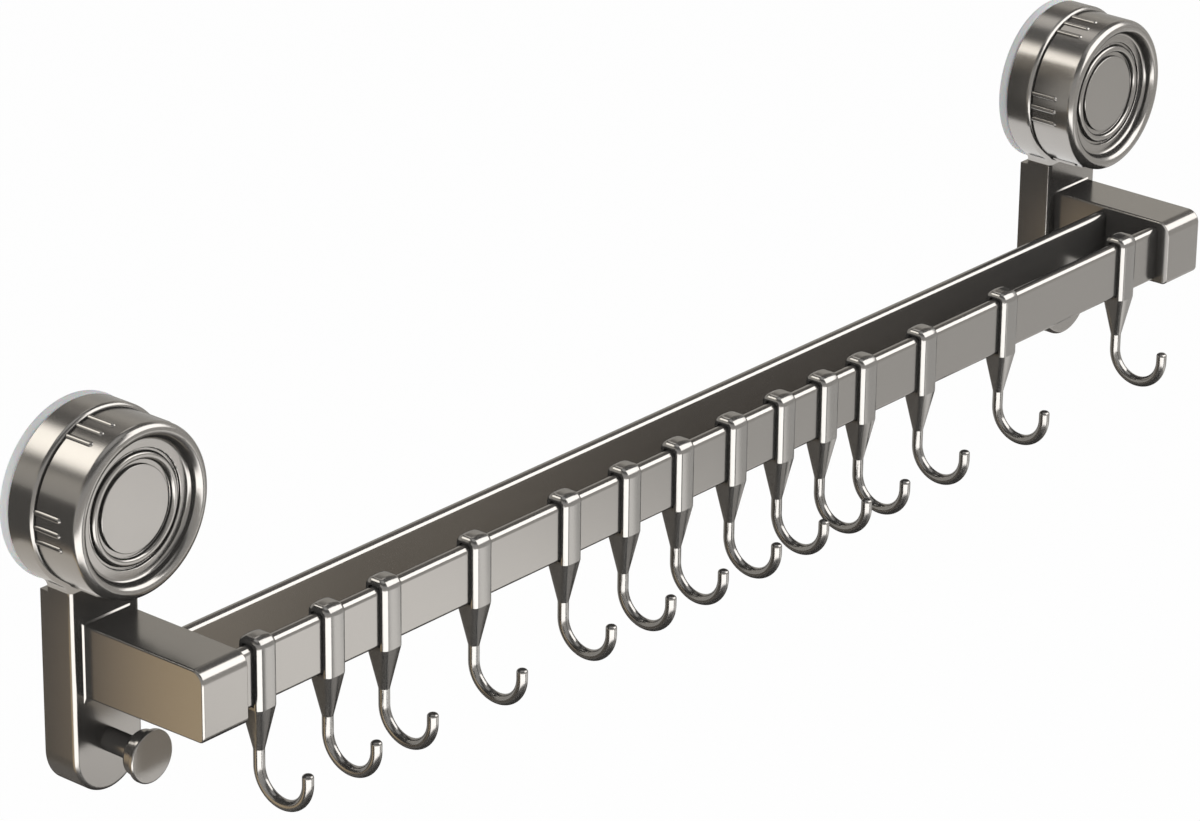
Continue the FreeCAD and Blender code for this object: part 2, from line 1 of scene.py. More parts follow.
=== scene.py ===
# %% [markdown]
# # A towel rack on two suction cups
#
# The rack hangs on two round suction cups. A box arm stands out from each cup's strap, and a flat
# bar and a flat rail run from arm to arm. Fourteen hooks slide along the front bar, and a small
# peg sits on the left strap. The solids come from the CAD frame. This file gives them their
# finish, builds the soft pads, and sets up the light and the camera.

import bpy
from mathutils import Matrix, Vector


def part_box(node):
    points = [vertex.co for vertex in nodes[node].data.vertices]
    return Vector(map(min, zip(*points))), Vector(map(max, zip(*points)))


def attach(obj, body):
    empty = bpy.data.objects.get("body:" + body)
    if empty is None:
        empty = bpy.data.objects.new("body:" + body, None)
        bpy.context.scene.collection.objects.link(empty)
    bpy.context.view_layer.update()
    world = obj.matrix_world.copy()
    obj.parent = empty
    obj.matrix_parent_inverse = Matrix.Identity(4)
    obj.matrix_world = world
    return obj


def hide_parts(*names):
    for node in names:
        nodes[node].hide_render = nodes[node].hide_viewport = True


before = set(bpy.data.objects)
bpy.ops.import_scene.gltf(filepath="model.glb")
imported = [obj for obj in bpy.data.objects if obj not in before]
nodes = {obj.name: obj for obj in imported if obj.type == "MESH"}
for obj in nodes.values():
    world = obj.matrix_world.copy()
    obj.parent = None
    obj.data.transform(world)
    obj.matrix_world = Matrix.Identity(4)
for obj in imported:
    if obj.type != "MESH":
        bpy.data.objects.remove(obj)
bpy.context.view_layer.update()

# %% [markdown]
# ## Tools and view
#
# The Standard view shows a colour about as it is written. Light could be followed from metal to
# metal many times over, but in the photograph the corners where one metal part faces another are
# dark. So a reflection is followed only once, and metal seen in metal stays dark here too.

# %% Tools and view
import math

import bmesh
import bpy
from mathutils import Matrix, Vector

scene = bpy.context.scene
scene.view_settings.view_transform = "Standard"
scene.cycles.glossy_bounces = 0
print("view:", scene.view_settings.view_transform)

# %% [markdown]
# ## Camera
#
# A long lens from the left, above and in front, tilted down at the rack. In the photograph the
# upright edges stay a little more parallel than this, which a lens shifted far off its middle
# would give. But a shift that large would push the rack out of every other view, so the camera
# goes without one, and its place, turn and lens were fitted so that the rack's corners still fall
# within a few pixels of the photograph's. A Track To constraint could aim it, but a plain
# rotation matrix lets the small roll be set as well.

# %% Camera's aim
CAMERA_PLACE = Vector((-1.26343, -1.33442, 0.81035))
CAMERA_YAW = math.radians(40.2707)
CAMERA_PITCH = math.radians(23.0498)
CAMERA_ROLL = math.radians(0.6695)

ahead = Vector((
    math.cos(CAMERA_YAW) * math.cos(CAMERA_PITCH),
    math.sin(CAMERA_YAW) * math.cos(CAMERA_PITCH),
    -math.sin(CAMERA_PITCH),
))
level_right = ahead.cross(Vector((0, 0, 1))).normalized()
level_up = level_right.cross(ahead)
right = math.cos(CAMERA_ROLL) * level_right + math.sin(CAMERA_ROLL) * level_up
up = math.cos(CAMERA_ROLL) * level_up - math.sin(CAMERA_ROLL) * level_right
print("camera looks along", [round(part, 3) for part in ahead])

# %% Camera
IMAGE_WIDTH = 1200
FOCAL_PIXELS = 5240.3
SENSOR_WIDTH = 36.0

lens = bpy.data.cameras.new("photo_camera")
lens.sensor_width = SENSOR_WIDTH
lens.lens = FOCAL_PIXELS * SENSOR_WIDTH / IMAGE_WIDTH
camera = bpy.data.objects.new("photo_camera", lens)
scene.collection.objects.link(camera)
aim = Matrix((right, up, -ahead)).transposed().to_4x4()
camera.matrix_world = Matrix.Translation(CAMERA_PLACE) @ aim
scene.camera = camera
print("lens: %.1f mm" % lens.lens)

# %% [markdown]
# ## Node helper
#
# Every finish below is a small graph of nodes. This helper adds one node and wires what goes into
# it, so that a graph reads from top to bottom like a recipe. Some sockets share a name, so an
# input can also be given by its number.


# %% Node helper
def add_node(material, kind, inputs=None, **settings):
    """A node of that kind; inputs maps a socket's name or number to a value or an output."""
    tree = material.node_tree
    node = tree.nodes.new(kind)
    for name, value in settings.items():
        setattr(node, name, value)
    for key, value in (inputs or {}).items():
        socket = node.inputs[key]
        if isinstance(value, bpy.types.NodeSocket):
            tree.links.new(value, socket)
        else:
            socket.default_value = value
    return node


def new_material(name):
    """An empty node material and its output node."""
    material = bpy.data.materials.new(name)
    material.use_nodes = True
    material.node_tree.nodes.clear()
    return material, add_node(material, "ShaderNodeOutputMaterial")


# %% [markdown]
# ## Satin metal
#
# The rack's metal is gun grey and satin: it was blasted fine, then plated, so it mirrors the
# studio softly. Metal has hardly any look of its own, so the graph only breaks the mirror up:
# a cloudy noise varies the roughness, a stretched noise adds the faint lines of brushing, and a
# very fine noise is the grain left by the blasting. A little of the surface is left unmetallic,
# which keeps the plating from turning as hard as chrome.


# %% Marks in the metal
CLOUDS_PER_METRE = 38.0
GRAINS_PER_METRE = 2600.0


def metal_marks(material, stretch):
    """Three noises: the lines of brushing, broad clouds, and the fine grain of the blasting."""
    place = add_node(material, "ShaderNodeTexCoord").outputs["Object"]
    lines_at = add_node(material, "ShaderNodeMapping", {"Vector": place, "Scale": stretch})
    lines = add_node(
        material, "ShaderNodeTexNoise",
        {"Vector": lines_at.outputs[0], "Scale": 1.0, "Detail": 3.0, "Roughness": 0.6},
    )
    clouds = add_node(
        material, "ShaderNodeTexNoise",
        {"Vector": place, "Scale": CLOUDS_PER_METRE, "Detail": 3.0},
    )
    fine = add_node(
        material, "ShaderNodeTexNoise",
        {"Vector": place, "Scale": GRAINS_PER_METRE, "Detail": 2.0},
    )
    return lines.outputs[0], clouds.outputs[0], fine.outputs[0]


# %% Satin metal
METAL_SHARE = 0.86
TINT = 0.02
NOISE_LOW, NOISE_HIGH = 0.3, 0.7
SMOOTHER, ROUGHER = 0.93, 1.08
GRAIN_DEPTH = 0.00002
LINE_DEPTH = 0.00003


def satin_metal(name, colour, roughness, stretch, grain=0.12):
    """A satin metal; stretch is the brushing's lines per metre along X, Y and Z."""
    material, output = new_material(name)
    lines, clouds, fine = metal_marks(material, stretch)
    both = add_node(material, "ShaderNodeMix", {0: 0.5, 2: lines, 3: clouds}).outputs[0]
    rough = add_node(
        material, "ShaderNodeMapRange",
        {0: both, 1: NOISE_LOW, 2: NOISE_HIGH,
         3: roughness * SMOOTHER, 4: roughness * ROUGHER},
    )
    dark = [channel * (1 - TINT) for channel in colour] + [1]
    pale = [min(1, channel * (1 + TINT)) for channel in colour] + [1]
    shade = add_node(material, "ShaderNodeMix", {0: both, 6: dark, 7: pale}, data_type="RGBA")
    grained = add_node(
        material, "ShaderNodeBump", {"Height": fine, "Strength": grain, "Distance": GRAIN_DEPTH}
    )
    lined = add_node(
        material, "ShaderNodeBump",
        {"Height": lines, "Strength": grain, "Distance": LINE_DEPTH, "Normal": grained.outputs[0]},
    )
    surface = add_node(
        material, "ShaderNodeBsdfPrincipled",
        {"Base Color": shade.outputs[2], "Metallic": METAL_SHARE, "Roughness": rough.outputs[0],
         "Normal": lined.outputs[0]},
    )
    material.node_tree.links.new(surface.outputs[0], output.inputs["Surface"])
    return material


# %% [markdown]
# ## The rack's metals
#
# Every part was brushed its own way before it was plated: the bars along their length, the arms
# from wall to front, the straps and hooks up and down, and the round parts evenly. One material
# for the whole rack would be simpler, but it would draw the lines across some parts. The bars are
# the smoothest, and the arms, straps, caps and hooks show less grain than the bars do.

# %% The rack's metals
GUN_GREY = (0.47, 0.45, 0.425)
ALONG_X = (12.0, 900.0, 900.0)
ALONG_Y = (900.0, 14.0, 900.0)
ALONG_Z = (900.0, 900.0, 14.0)
CAP_LINES = (500.0, 500.0, 500.0)
DISC_LINES = (260.0, 260.0, 260.0)
SCREW_LINES = (600.0, 600.0, 600.0)

bar_metal = satin_metal("bar_metal", GUN_GREY, 0.15, ALONG_X)
arm_metal = satin_metal("arm_metal", GUN_GREY, 0.18, ALONG_Y, grain=0.06)
plate_metal = satin_metal("plate_metal", GUN_GREY, 0.21, ALONG_Z, grain=0.03)
cap_metal = satin_metal("cap_metal", GUN_GREY, 0.20, CAP_LINES, grain=0.03)
disc_metal = satin_metal("disc_metal", (0.50, 0.48, 0.455), 0.22, DISC_LINES)
hook_metal = satin_metal("hook_metal", (0.45, 0.435, 0.415), 0.17, ALONG_Z, grain=0.03)
steel = satin_metal("screw_steel", (0.55, 0.55, 0.54), 0.22, SCREW_LINES)
brass = satin_metal("insert_brass", (0.70, 0.56, 0.29), 0.25, SCREW_LINES)
print("metals:", [material.name for material in bpy.data.materials])

# %% [markdown]
# ## Give the parts their metal
#
# The CAD solids already have the right shape, so only their material slots change. The nodes are
# chosen by how their names begin, so that one line finishes all fourteen hooks, and one both caps.


# %% Give the parts their metal
def finish_nodes(material, *starts):
    """Give every node whose name begins so that material."""
    chosen = [node for name, node in nodes.items() if name.startswith(starts)]
    for node in chosen:
        node.data.materials.clear()
        node.data.materials.append(material)
    print(material.name, "on", len(chosen), "nodes")


finish_nodes(bar_metal, "front_bar", "rear_rail")
finish_nodes(arm_metal, "arm_left", "arm_right", "peg")
finish_nodes(plate_metal, "backplate")
finish_nodes(cap_metal, "twist_cap")
finish_nodes(disc_metal, "cap_disc")
finish_nodes(hook_metal, "hook")
finish_nodes(steel, "arm_screws", "peg_screw", "pull_stud")
finish_nodes(brass, "cap_insert")

# %% [markdown]
# ## Silicone
#
# The pads are milky silicone. Glass would be too clear and plain plastic too dead, so a little
# of the light goes in under the skin and comes out again nearby. A cloudy noise shifts the
# colour and the gloss a little, because moulded silicone is never quite even.


# %% Silicone
MILKY = (0.78, 0.79, 0.80, 1)
PALER = (0.88, 0.89, 0.90, 1)
PAD_CLOUDS_PER_METRE = 60.0
GLOSSIER, DULLER = 0.28, 0.42


def silicone():
    """Milky silicone: light goes a little way in, and the skin has a soft gloss."""
    material, output = new_material("silicone")
    place = add_node(material, "ShaderNodeTexCoord").outputs["Object"]
    cloud = add_node(
        material, "ShaderNodeTexNoise",
        {"Vector": place, "Scale": PAD_CLOUDS_PER_METRE, "Detail": 3.0},
    ).outputs[0]
    shade = add_node(material, "ShaderNodeMix", {0: cloud, 6: MILKY, 7: PALER}, data_type="RGBA")
    rough = add_node(material, "ShaderNodeMapRange", {0: cloud, 3: GLOSSIER, 4: DULLER})
    surface = add_node(
        material, "ShaderNodeBsdfPrincipled",
        {"Base Color": shade.outputs[2], "Roughness": rough.outputs[0],
         "Subsurface Weight": 0.4, "Subsurface Scale": 0.004, "IOR": 1.42},
    )
    material.node_tree.links.new(surface.outputs[0], output.inputs["Surface"])
    return material


pad_skin = silicone()
print("made", pad_skin.name)

# %% [markdown]
# ## Suction pads
#
# Each pad is a disc of pale silicone. Its rim swells a little past the base ring, where it shows
# as a milky band. It could be a squashed cylinder, but a real pad has a soft lip and shallow
# rings on the wall side, so its profile is drawn as a list of points and spun about the axis.

# %% Spin a profile into a pad
SPIN_STEPS = 96


def spun_ring(mesh, radius, out, middle):
    """The corners of one ring, or the single corner of a point on the axis."""
    if radius == 0:
        return [mesh.verts.new((middle.x, -out, middle.z))]
    ring = []
    for step in range(SPIN_STEPS):
        angle = 2 * math.pi * step / SPIN_STEPS
        ring.append(mesh.verts.new((
            middle.x + radius * math.cos(angle), -out, middle.z + radius * math.sin(angle),
        )))
    return ring


def spun(name, profile, middle):
    """A closed skin of faces from (radius, distance out) points turned about the pad's axis."""
    mesh = bmesh.new()
    rings = [spun_ring(mesh, radius, out, middle) for radius, out in profile]
    for near, far in zip(rings, rings[1:]):
        for step in range(SPIN_STEPS):
            after = (step + 1) % SPIN_STEPS
            corners = [near[step % len(near)], near[after % len(near)],
                       far[after % len(far)], far[step % len(far)]]
            mesh.faces.new(list(dict.fromkeys(corners)))
    bmesh.ops.recalc_face_normals(mesh, faces=mesh.faces)
    data = bpy.data.meshes.new(name)
    mesh.to_mesh(data)
    mesh.free()
    data.shade_smooth()
    piece = bpy.data.objects.new(name, data)
    scene.collection.objects.link(piece)
    return piece


# %% Suction pads
MM = 0.001
# Radius and distance out from the wall, in millimetres: over the wall side from the axis, round
# the lip as seen from the pad's edge, and back over the boss that the stud is moulded into.
WALL_SIDE = [
    (0, 0), (7, 0), (8, 0.5), (10, 0.5), (11, 0),
    (19, 0), (20, 0.5), (22, 0.5), (23, 0),
    (30, 0), (31, 0.4), (32.5, 0.4), (33.5, 0),
]
LIP = [(0.2, 0), (0.6, 0.4), (0.6, 1.2), (0.3, 2.0), (0.0, 3.0), (-0.5, 4.65)]
BOSS = [(15.4, 4.7), (14.4, 5.2), (14.0, 6.8), (13.2, 7.3), (6.6, 7.3), (6.5, 5.3), (0, 5.3)]

for side in ("left", "right"):
    low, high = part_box("suction_pad_" + side)
    edge = (high.x - low.x) / 2
    profile = [(radius * MM, out * MM) for radius, out in WALL_SIDE]
    profile += [(edge + radius * MM, out * MM) for radius, out in LIP]
    profile += [(radius * MM, out * MM) for radius, out in BOSS]
    pad = spun("silicone_pad_" + side, profile, (low + high) / 2)
    pad.data.materials.append(pad_skin)
    smooth = pad.modifiers.new("soft_edges", "SUBSURF")
    smooth.levels = smooth.render_levels = 1
    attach(pad, "rack")
    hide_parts("suction_pad_" + side)
    print(pad.name, "radius %.1f mm" % (edge / MM))

# %% [markdown]
# ## Studio
#
# The rack hangs in the air over a plain pale floor. Metal shows what stands round it, so the
# studio matters as much as the finish. A real studio would have bright sheets and dark cloth on
# the ground all round the rack. Cards could stand for them one by one, but the floor is a single
# surface that can play them all. Seen straight it is white paper, and seen in metal it is a plan
# of sheets and cloth, with its colour picked by the bearing from the rack. One part of the plan
# holds the far sheets, which the upright faces mirror, and one the near cloth, which the lower
# rounds mirror.

# %% Ramp helpers
FLOOR_Z = -0.75
SEEN_WHITE = 0.985
RACK_MIDDLE = Vector((0.315, -0.06, -0.06))


def add_ramp(material, share, stops):
    """A colour ramp; stops are (place from 0 to 1, red, green, blue)."""
    node = add_node(material, "ShaderNodeValToRGB", {0: share})
    ramp = node.color_ramp
    ramp.interpolation = "EASE"
    while len(ramp.elements) < len(stops):
        ramp.elements.new(1.0)
    for element, (place, *colour) in zip(ramp.elements, stops):
        element.position = place
        element.color = (*colour, 1)
    return node.outputs[0]


def smooth_step(material, value, start, end, low=0.0, high=1.0):
    """From low to high, with soft ends, while the value goes from start to end."""
    return add_node(
        material, "ShaderNodeMapRange", {0: value, 1: start, 2: end, 3: low, 4: high},
        interpolation_type="SMOOTHSTEP",
    ).outputs[0]


def seen_straight(material):
    """1 where the camera sees the spot itself, also through something clear, and 0 elsewhere."""
    rays = add_node(material, "ShaderNodeLightPath").outputs
    return add_node(
        material, "ShaderNodeMath",
        {0: rays["Is Camera Ray"], 1: rays["Is Transmission Ray"]}, operation="MAXIMUM",
    ).outputs[0]


# %% Bearings
def bearing_share(material, x, y):
    """0 to 1 once round the rack: 0.5 straight ahead of it, less to its left, more to its right."""
    front = add_node(material, "ShaderNodeMath", {0: y, 1: -1.0}, operation="MULTIPLY")
    angle = add_node(material, "ShaderNodeMath", {0: x, 1: front.outputs[0]}, operation="ARCTAN2")
    return add_node(
        material, "ShaderNodeMapRange", {0: angle.outputs[0], 1: -math.pi, 2: math.pi}
    ).outputs[0]


def bearing(degrees):
    """The ramp's place for a bearing; 0 is straight ahead, negative is to the left."""
    return 0.5 + degrees / 360


print("bearing of the left end:", bearing(-90))

# %% Plan of sheets and cloth
FAR_SHEETS = [
    (bearing(-180), 0.42, 0.41, 0.39),
    (bearing(-156), 0.38, 0.37, 0.35),
    (bearing(-146), 0.09, 0.08, 0.06),
    (bearing(-131), 0.09, 0.075, 0.055),
    (bearing(-98), 0.015, 0.013, 0.012),
    (bearing(-88), 0.02, 0.018, 0.016),
    (bearing(-80), 2.7, 2.66, 2.62),
    (bearing(4), 2.7, 2.7, 2.7),
    (bearing(14), 0.05, 0.05, 0.05),
    (bearing(20), 0.10, 0.10, 0.10),
    (bearing(27), 1.20, 1.19, 1.17),
    (bearing(34), 1.20, 1.19, 1.17),
    (bearing(94), 1.15, 1.13, 1.10),
    (bearing(118), 0.30, 0.28, 0.26),
    (bearing(150), 0.42, 0.41, 0.39),
]
NEAR_SHEETS = [
    (bearing(-180), 0.12, 0.11, 0.10),
    (bearing(-138), 0.13, 0.12, 0.11),
    (bearing(-90), 0.06, 0.055, 0.05),
    (bearing(6), 0.12, 0.12, 0.12),
    (bearing(24), 0.34, 0.33, 0.32),
    (bearing(48), 0.30, 0.29, 0.28),
    (bearing(64), 0.07, 0.065, 0.06),
    (bearing(106), 0.05, 0.045, 0.04),
]
print("sheets:", len(FAR_SHEETS), "far,", len(NEAR_SHEETS), "near")

# %% Colour of the plan
ROOM_GREY = (0.46, 0.45, 0.43, 1)
# Reaches along the floor, in metres from the point under the rack's middle.
DARK_TURNS_NEAR = (0.35, 0.62)
DARK_SHARE = 0.15
NEAR_TURNS_FAR = (0.85, 1.12)
PLAN_TURNS_ROOM = (2.1, 2.7)
# Beyond the rack's right end the sheets are dimmer.
DIM_FROM, DIM_TO = 0.92, 1.2
DIM_SHARE = 0.48


def floor_plan(material):
    """The colour that metal sees at each spot of the floor."""
    spot = add_node(material, "ShaderNodeTexCoord").outputs["Object"]
    from_rack = add_node(
        material, "ShaderNodeVectorMath", {0: spot, 1: RACK_MIDDLE}, operation="SUBTRACT"
    ).outputs[0]
    parts = add_node(material, "ShaderNodeSeparateXYZ", {0: from_rack}).outputs
    share = bearing_share(material, parts["X"], parts["Y"])
    far_colour = add_ramp(material, share, FAR_SHEETS)
    near_colour = add_ramp(material, share, NEAR_SHEETS)
    flat = add_node(
        material, "ShaderNodeVectorMath", {0: from_rack, 1: (1, 1, 0)}, operation="MULTIPLY"
    ).outputs[0]
    reach = add_node(
        material, "ShaderNodeVectorMath", {0: flat}, operation="LENGTH"
    ).outputs["Value"]
    under = smooth_step(material, reach, *DARK_TURNS_NEAR, low=DARK_SHARE)
    near_colour = add_node(
        material, "ShaderNodeVectorMath", {0: near_colour, "Scale": under}, operation="SCALE"
    ).outputs[0]
    far_share = smooth_step(material, reach, *NEAR_TURNS_FAR)
    sheets = add_node(
        material, "ShaderNodeMix", {0: far_share, 6: near_colour, 7: far_colour},
        data_type="RGBA",
    ).outputs[2]
    fade = add_node(
        material, "ShaderNodeMapRange",
        {0: parts["X"], 1: DIM_FROM, 2: DIM_TO, 3: 1.0, 4: DIM_SHARE},
    ).outputs[0]
    sheets = add_node(
        material, "ShaderNodeVectorMath", {0: sheets, "Scale": fade}, operation="SCALE"
    ).outputs[0]
    room_share = smooth_step(material, reach, *PLAN_TURNS_ROOM)
    return add_node(
        material, "ShaderNodeMix", {0: room_share, 6: sheets, 7: ROOM_GREY}, data_type="RGBA"
    ).outputs[2]


# %% Floor's material
PAPER = (0.9, 0.9, 0.9, 1)


def floor_material():
    """White paper, or in metal the plan of sheets and cloth round the rack."""
    material, output = new_material("pale_floor")
    material.cycles.emission_sampling = "NONE"
    rays = add_node(material, "ShaderNodeLightPath").outputs
    sheets = floor_plan(material)
    mirror = add_node(material, "ShaderNodeEmission", {"Color": sheets, "Strength": 1.0})
    paper = add_node(material, "ShaderNodeBsdfDiffuse", {"Color": PAPER})
    white = add_node(material, "ShaderNodeEmission", {"Color": (1, 1, 1, 1), "Strength": 1.0})
    white_share = add_node(
        material, "ShaderNodeMath", {0: seen_straight(material), 1: SEEN_WHITE},
        operation="MULTIPLY",
    ).outputs[0]
    seen = add_node(
        material, "ShaderNodeMixShader", {0: white_share, 1: paper.outputs[0], 2: white.outputs[0]}
    )
    both = add_node(
        material, "ShaderNodeMixShader",
        {0: rays["Is Glossy Ray"], 1: seen.outputs[0], 2: mirror.outputs[0]},
    )
    material.node_tree.links.new(both.outputs[0], output.inputs["Surface"])
    return material


# %% Floor
FLOOR_HALF = 20.0


def flat_card(name, corners, material):
    """A flat four-sided card that isn't part of the object."""
    data = bpy.data.meshes.new(name)
    data.from_pydata(corners, [], [(0, 1, 2, 3)])
    data.materials.append(material)
    card = bpy.data.objects.new(name, data)
    scene.collection.objects.link(card)
    return card


floor_corners = [
    (x * FLOOR_HALF, y * FLOOR_HALF, FLOOR_Z) for x, y in ((-1, -1), (1, -1), (1, 1), (-1, 1))
]
flat_card("floor", floor_corners, floor_material())
print("floor at", FLOOR_Z)

# %% [markdown]
# ## Cloth close to the rack
#
# The left sides of the rack are brown and dark, with a soft change of tone over only a few
# centimetres. A sheet far away can't draw that in satin metal, because the reflection smears it,
# so small strips of cloth hang close to the rack: one beside each cup, a pale one under each cup,
# and a long one behind the front bar for the rail to mirror, darker to the right. A small white
# one lights the inner side of the right arm. They are seen in metal only, and only from the side
# that they face.

# %% Cloth
UPPER_TALL = 0.23
SEAM_TALL = 0.02


def cloth_material(name, start, end, lower, upper=None, seam=None):
    """Cloth with a ramp along X; with a seam the ramp runs along Y, and a second one up Z."""
    material, output = new_material(name)
    material.cycles.emission_sampling = "NONE"
    spot = add_node(material, "ShaderNodeTexCoord").outputs["Object"]
    parts = add_node(material, "ShaderNodeSeparateXYZ", {0: spot}).outputs
    axis = "Y" if upper else "X"
    along = add_node(material, "ShaderNodeMapRange", {0: parts[axis], 1: start, 2: end})
    colour = add_ramp(material, along.outputs[0], lower)
    if upper:
        climb, above = (
            add_node(material, "ShaderNodeMapRange", {0: parts["Z"], 1: seam, 2: seam + tall})
            for tall in (UPPER_TALL, SEAM_TALL)
        )
        upper_colour = add_ramp(material, climb.outputs[0], upper)
        colour = add_node(
            material, "ShaderNodeMix",
            {0: above.outputs[0], 6: colour, 7: upper_colour}, data_type="RGBA",
        ).outputs[2]
    shine = add_node(material, "ShaderNodeEmission", {"Color": colour})
    clear = add_node(material, "ShaderNodeBsdfTransparent")
    back = add_node(material, "ShaderNodeNewGeometry").outputs["Backfacing"]
    both = add_node(
        material, "ShaderNodeMixShader", {0: back, 1: shine.outputs[0], 2: clear.outputs[0]}
    )
    material.node_tree.links.new(both.outputs[0], output.inputs["Surface"])
    return material


# %% Colours of the cloth
side_cloth = cloth_material(
    "side_cloth", 0.0, 0.12,
    lower=[
        (0.20, 0.66, 0.51, 0.31),
        (0.40, 0.56, 0.43, 0.265),
        (0.64, 0.33, 0.26, 0.18),
        (0.79, 0.09, 0.07, 0.052),
        (0.88, 0.03, 0.024, 0.02),
    ],
    upper=[
        (0.09, 0.02, 0.018, 0.015),
        (0.62, 0.02, 0.018, 0.015),
        (0.80, 0.20, 0.18, 0.15),
        (0.92, 0.30, 0.27, 0.23),
    ],
    seam=-0.108,
)
pale_cloth = cloth_material(
    "pale_cloth", -0.1, 0.1, [(0.0, 0.55, 0.51, 0.45), (1.0, 1.0, 1.0, 1.0)]
)
rail_cloth = cloth_material(
    "rail_cloth", 0.0, 0.6,
    [
        (0.03, 0.32, 0.29, 0.25),
        (0.25, 0.19, 0.17, 0.145),
        (0.60, 0.08, 0.07, 0.06),
        (1.0, 0.01, 0.009, 0.008),
    ],
)
white_cloth = cloth_material("white_cloth", 0.0, 0.6, [(0.0, 1.0, 1.0, 1.0), (1.0, 1.0, 1.0, 1.0)])
print("cloth:", [cloth.name for cloth in (side_cloth, pale_cloth, rail_cloth, white_cloth)])

# %% Strips beside and under the cups
SIDE_AWAY = 0.12
SIDE_BOTTOM, SIDE_BACK = -0.25, 0.13
# The strip's front edge and top, and how far it hangs back.
SIDE_STRIPS = {"left": (-0.02, 0.03, 0.0), "right": (0.065, 0.12, -0.035)}
UNDER_LEFT, UNDER_RIGHT = -0.055, -0.004
UNDER_FRONT, UNDER_BACK = -0.03, 0.02
UNDER_HEIGHT = -0.035


def metal_only(card):
    """Show a card to metal only."""
    card.visible_camera = card.visible_diffuse = card.visible_shadow = False
    card.visible_transmission = False
    return card


for side, (front, top, shift) in SIDE_STRIPS.items():
    low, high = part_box("backplate_" + side)
    middle = (low.x + high.x) / 2
    strip = metal_only(flat_card(
        "cloth_" + side,
        [(0, front, SIDE_BOTTOM), (0, SIDE_BACK, SIDE_BOTTOM),
         (0, SIDE_BACK, top), (0, front, top)],
        side_cloth,
    ))
    strip.location = (middle - SIDE_AWAY, shift, 0)
    under = [
        (UNDER_LEFT, UNDER_FRONT), (UNDER_RIGHT, UNDER_FRONT),
        (UNDER_RIGHT, UNDER_BACK), (UNDER_LEFT, UNDER_BACK),
    ]
    metal_only(flat_card(
        "cloth_under_" + side, [(middle + x, y, UNDER_HEIGHT) for x, y in under], pale_cloth
    ))
    print(strip.name, "at x %.3f" % strip.location.x)


# %% Upright strips at the bar
CARD_TOP = -0.045
RAIL_CARD_LEFT, RAIL_CARD_RIGHT, RAIL_CARD_LOW = 0.014, 0.616, -0.125
ARM_CARD_FRONT, ARM_CARD_LOW = -0.100, -0.088
OFF_HOOKS, OFF_ARM, OFF_BAR = 0.0006, 0.005, 0.0004


def upright_card(name, start, end, low, material):
    """An upright card from one (x, y) to another, facing right of the way from start to end."""
    (x0, y0), (x1, y1) = start, end
    corners = [(x0, y0, low), (x1, y1, low), (x1, y1, CARD_TOP), (x0, y0, CARD_TOP)]
    metal_only(flat_card(name, corners, material))


hook_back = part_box("hook_01")[1].y + OFF_HOOKS
arm_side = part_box("arm_right")[0].x - OFF_ARM
bar_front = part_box("front_bar")[0].y - OFF_BAR
upright_card(
    "cloth_behind_bar", (RAIL_CARD_RIGHT, hook_back), (RAIL_CARD_LEFT, hook_back),
    RAIL_CARD_LOW, rail_cloth,
)
upright_card(
    "cloth_by_arm", (arm_side, ARM_CARD_FRONT), (arm_side, bar_front), ARM_CARD_LOW, white_cloth
)
print("behind the hooks at %.4f, by the arm at %.4f" % (hook_back, arm_side))

# %% [markdown]
# ## Room
#
# Low down the room is a plain grey all round, so that no side of the metal looks black. Behind
# the rack a slightly paler band lights the flat tops of the bar and the arms. Higher up it is
# dark, so that the rounded edges turn dark before they turn white, and right overhead it is grey
# again for a view from above. The camera sees plain white instead. A picture of a studio could do
# all this, but a ramp by height is enough, and it needs no file.

# %% Room's colours
BEHIND_SKY = [
    (0.50, 0.42, 0.41, 0.39),
    (0.60, 0.42, 0.405, 0.38),
    (0.70, 0.50, 0.48, 0.44),
    (0.80, 0.11, 0.10, 0.09),
    (0.93, 0.08, 0.08, 0.08),
    (0.98, 0.45, 0.45, 0.45),
]
FRONT_SKY = [
    (0.50, 0.44, 0.43, 0.42),
    (0.72, 0.40, 0.40, 0.40),
    (0.85, 0.08, 0.08, 0.08),
    (0.94, 0.08, 0.08, 0.08),
    (0.98, 0.45, 0.45, 0.45),
]
FRONT_TURNS_BEHIND = (-0.2, 0.25)
print("sky stops:", len(BEHIND_SKY), "behind,", len(FRONT_SKY), "in front")

# %% World
world = bpy.data.worlds.new("studio")
scene.world = world
world.use_nodes = True
world.node_tree.nodes.clear()
look = add_node(world, "ShaderNodeTexCoord").outputs["Generated"]
parts = add_node(world, "ShaderNodeSeparateXYZ", {0: look}).outputs
height = add_node(world, "ShaderNodeMapRange", {0: parts["Z"], 1: -1.0, 2: 1.0}).outputs[0]
behind_sky = add_ramp(world, height, BEHIND_SKY)
front_sky = add_ramp(world, height, FRONT_SKY)
behind = smooth_step(world, parts["Y"], *FRONT_TURNS_BEHIND)
sky = add_node(
    world, "ShaderNodeMix", {0: behind, 6: front_sky, 7: behind_sky}, data_type="RGBA"
).outputs[2]
glow = add_node(world, "ShaderNodeBackground", {"Color": sky, "Strength": 1.0})
plain = add_node(world, "ShaderNodeBackground", {"Color": (1, 1, 1, 1), "Strength": SEEN_WHITE})
room = add_node(
    world, "ShaderNodeMixShader",
    {0: seen_straight(world), 1: glow.outputs[0], 2: plain.outputs[0]},
)
add_node(world, "ShaderNodeOutputWorld", {"Surface": room.outputs[0]})
print("room has", len(world.node_tree.nodes), "nodes")

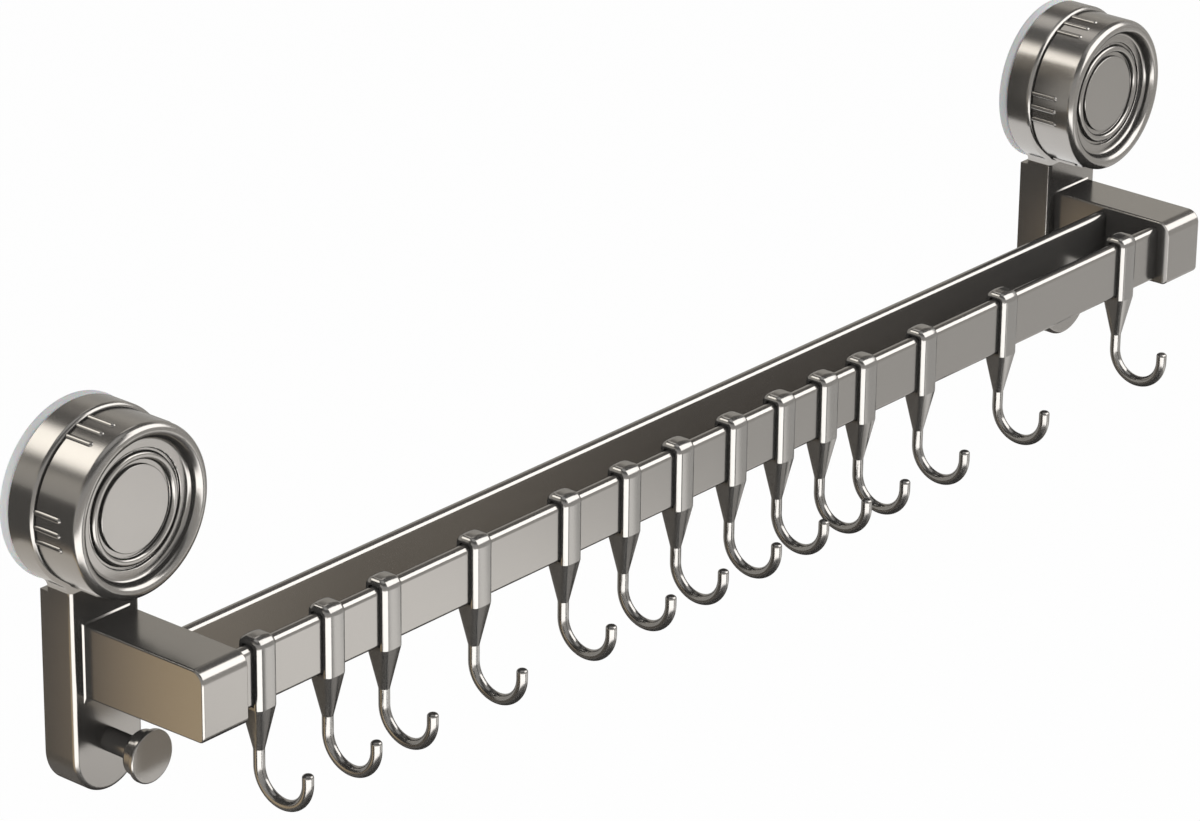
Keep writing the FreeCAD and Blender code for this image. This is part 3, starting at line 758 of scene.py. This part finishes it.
# %% [markdown]
# ## Soft boxes
#
# A soft box is a bright sheet. Metal mirrors its shape, so three of them draw the white lines
# and patches: the big one in front, above and to the right draws the line along the rounded top
# edges. Area lamps could do it, but a card's light can fade towards its edge, which softens the
# end of a reflection. Only metal sees these cards, and in corners, where metal mirrors metal,
# they leave the dark that the photograph has.


# %% Turn a card to face a point
def facing(place, aim):
    """The matrix that puts a thing at a place, its long side along X, turned to face a point."""
    back = (Vector(place) - Vector(aim)).normalized()
    along = Vector((1, 0, 0))
    side = (along - along.dot(back) * back).normalized()
    turn = Matrix((side, back.cross(side), back)).transposed().to_4x4()
    return Matrix.Translation(Vector(place)) @ turn


# %% Soft boxes
MIDDLE = 0.5


def soft_box(name, place, aim, size, radiance, colour, edge):
    """A bright card that only metal sees; edge is how far in its light fades, from 0 to 0.5."""
    material, output = new_material(name)
    material.cycles.emission_sampling = "NONE"
    spot = add_node(material, "ShaderNodeTexCoord").outputs["Generated"]
    parts = add_node(material, "ShaderNodeSeparateXYZ", {0: spot}).outputs
    power = radiance
    for axis in ("X", "Z"):
        off = add_node(
            material, "ShaderNodeMath", {0: parts[axis], 1: MIDDLE}, operation="SUBTRACT"
        )
        away = add_node(material, "ShaderNodeMath", {0: off.outputs[0]}, operation="ABSOLUTE")
        fade = smooth_step(material, away.outputs[0], MIDDLE, MIDDLE - edge)
        power = add_node(
            material, "ShaderNodeMath", {0: power, 1: fade}, operation="MULTIPLY"
        ).outputs[0]
    shine = add_node(material, "ShaderNodeEmission", {"Color": (*colour, 1), "Strength": power})
    material.node_tree.links.new(shine.outputs[0], output.inputs["Surface"])
    turn = facing(place, aim)
    wide, high = size[0] / 2, size[1] / 2
    corners = [(-wide, -high, 0), (wide, -high, 0), (wide, high, 0), (-wide, high, 0)]
    metal_only(flat_card(name, [turn @ Vector(corner) for corner in corners], material))
    print(name, "brightness", radiance)


FRONT_PLACE = (1.2, -0.69, 0.60)
FRONT_SIZE = (1.7, 0.95)

soft_box(
    "box_front", FRONT_PLACE, aim=(1.2, -0.06, -0.06), size=FRONT_SIZE,
    radiance=2.6, colour=(1.0, 0.99, 0.98), edge=0.05,
)
soft_box(
    "box_back_left", (-0.40, 1.00, 1.14), aim=(0, -0.03, 0), size=(1.2, 0.62),
    radiance=2.5, colour=(1.0, 0.97, 0.91), edge=0.3,
)
soft_box(
    "box_back_right", (1.0, 1.00, 1.40), aim=(0.63, -0.03, 0), size=(1.0, 0.45),
    radiance=1.0, colour=(1.0, 0.97, 0.93), edge=0.35,
)

# %% [markdown]
# ## Lamps
#
# Two real lamps light what isn't metal: the silicone pads and the paper. They stand to the left
# and where the big soft box is. Metal doesn't see them, because the soft boxes already draw its
# lights, and a second lamp in the same place would double them.


# %% Lamps
def soft_lamp(name, place, aim, size, radiance):
    """An area lamp of that brightness that metal doesn't mirror."""
    light = bpy.data.lights.new(name, "AREA")
    light.shape = "RECTANGLE"
    light.size, light.size_y = size
    light.energy = radiance * math.pi * size[0] * size[1]
    lamp = bpy.data.objects.new(name, light)
    scene.collection.objects.link(lamp)
    lamp.matrix_world = facing(place, aim)
    lamp.visible_camera = lamp.visible_glossy = False
    print(name, "radiance", radiance)


soft_lamp("lamp_left", (-1.4, -0.2, 0.5), aim=(0, 0, 0), size=(1.0, 1.0), radiance=3.0)
soft_lamp("lamp_front", FRONT_PLACE, aim=(0.3, -0.06, -0.06), size=FRONT_SIZE, radiance=2.4)
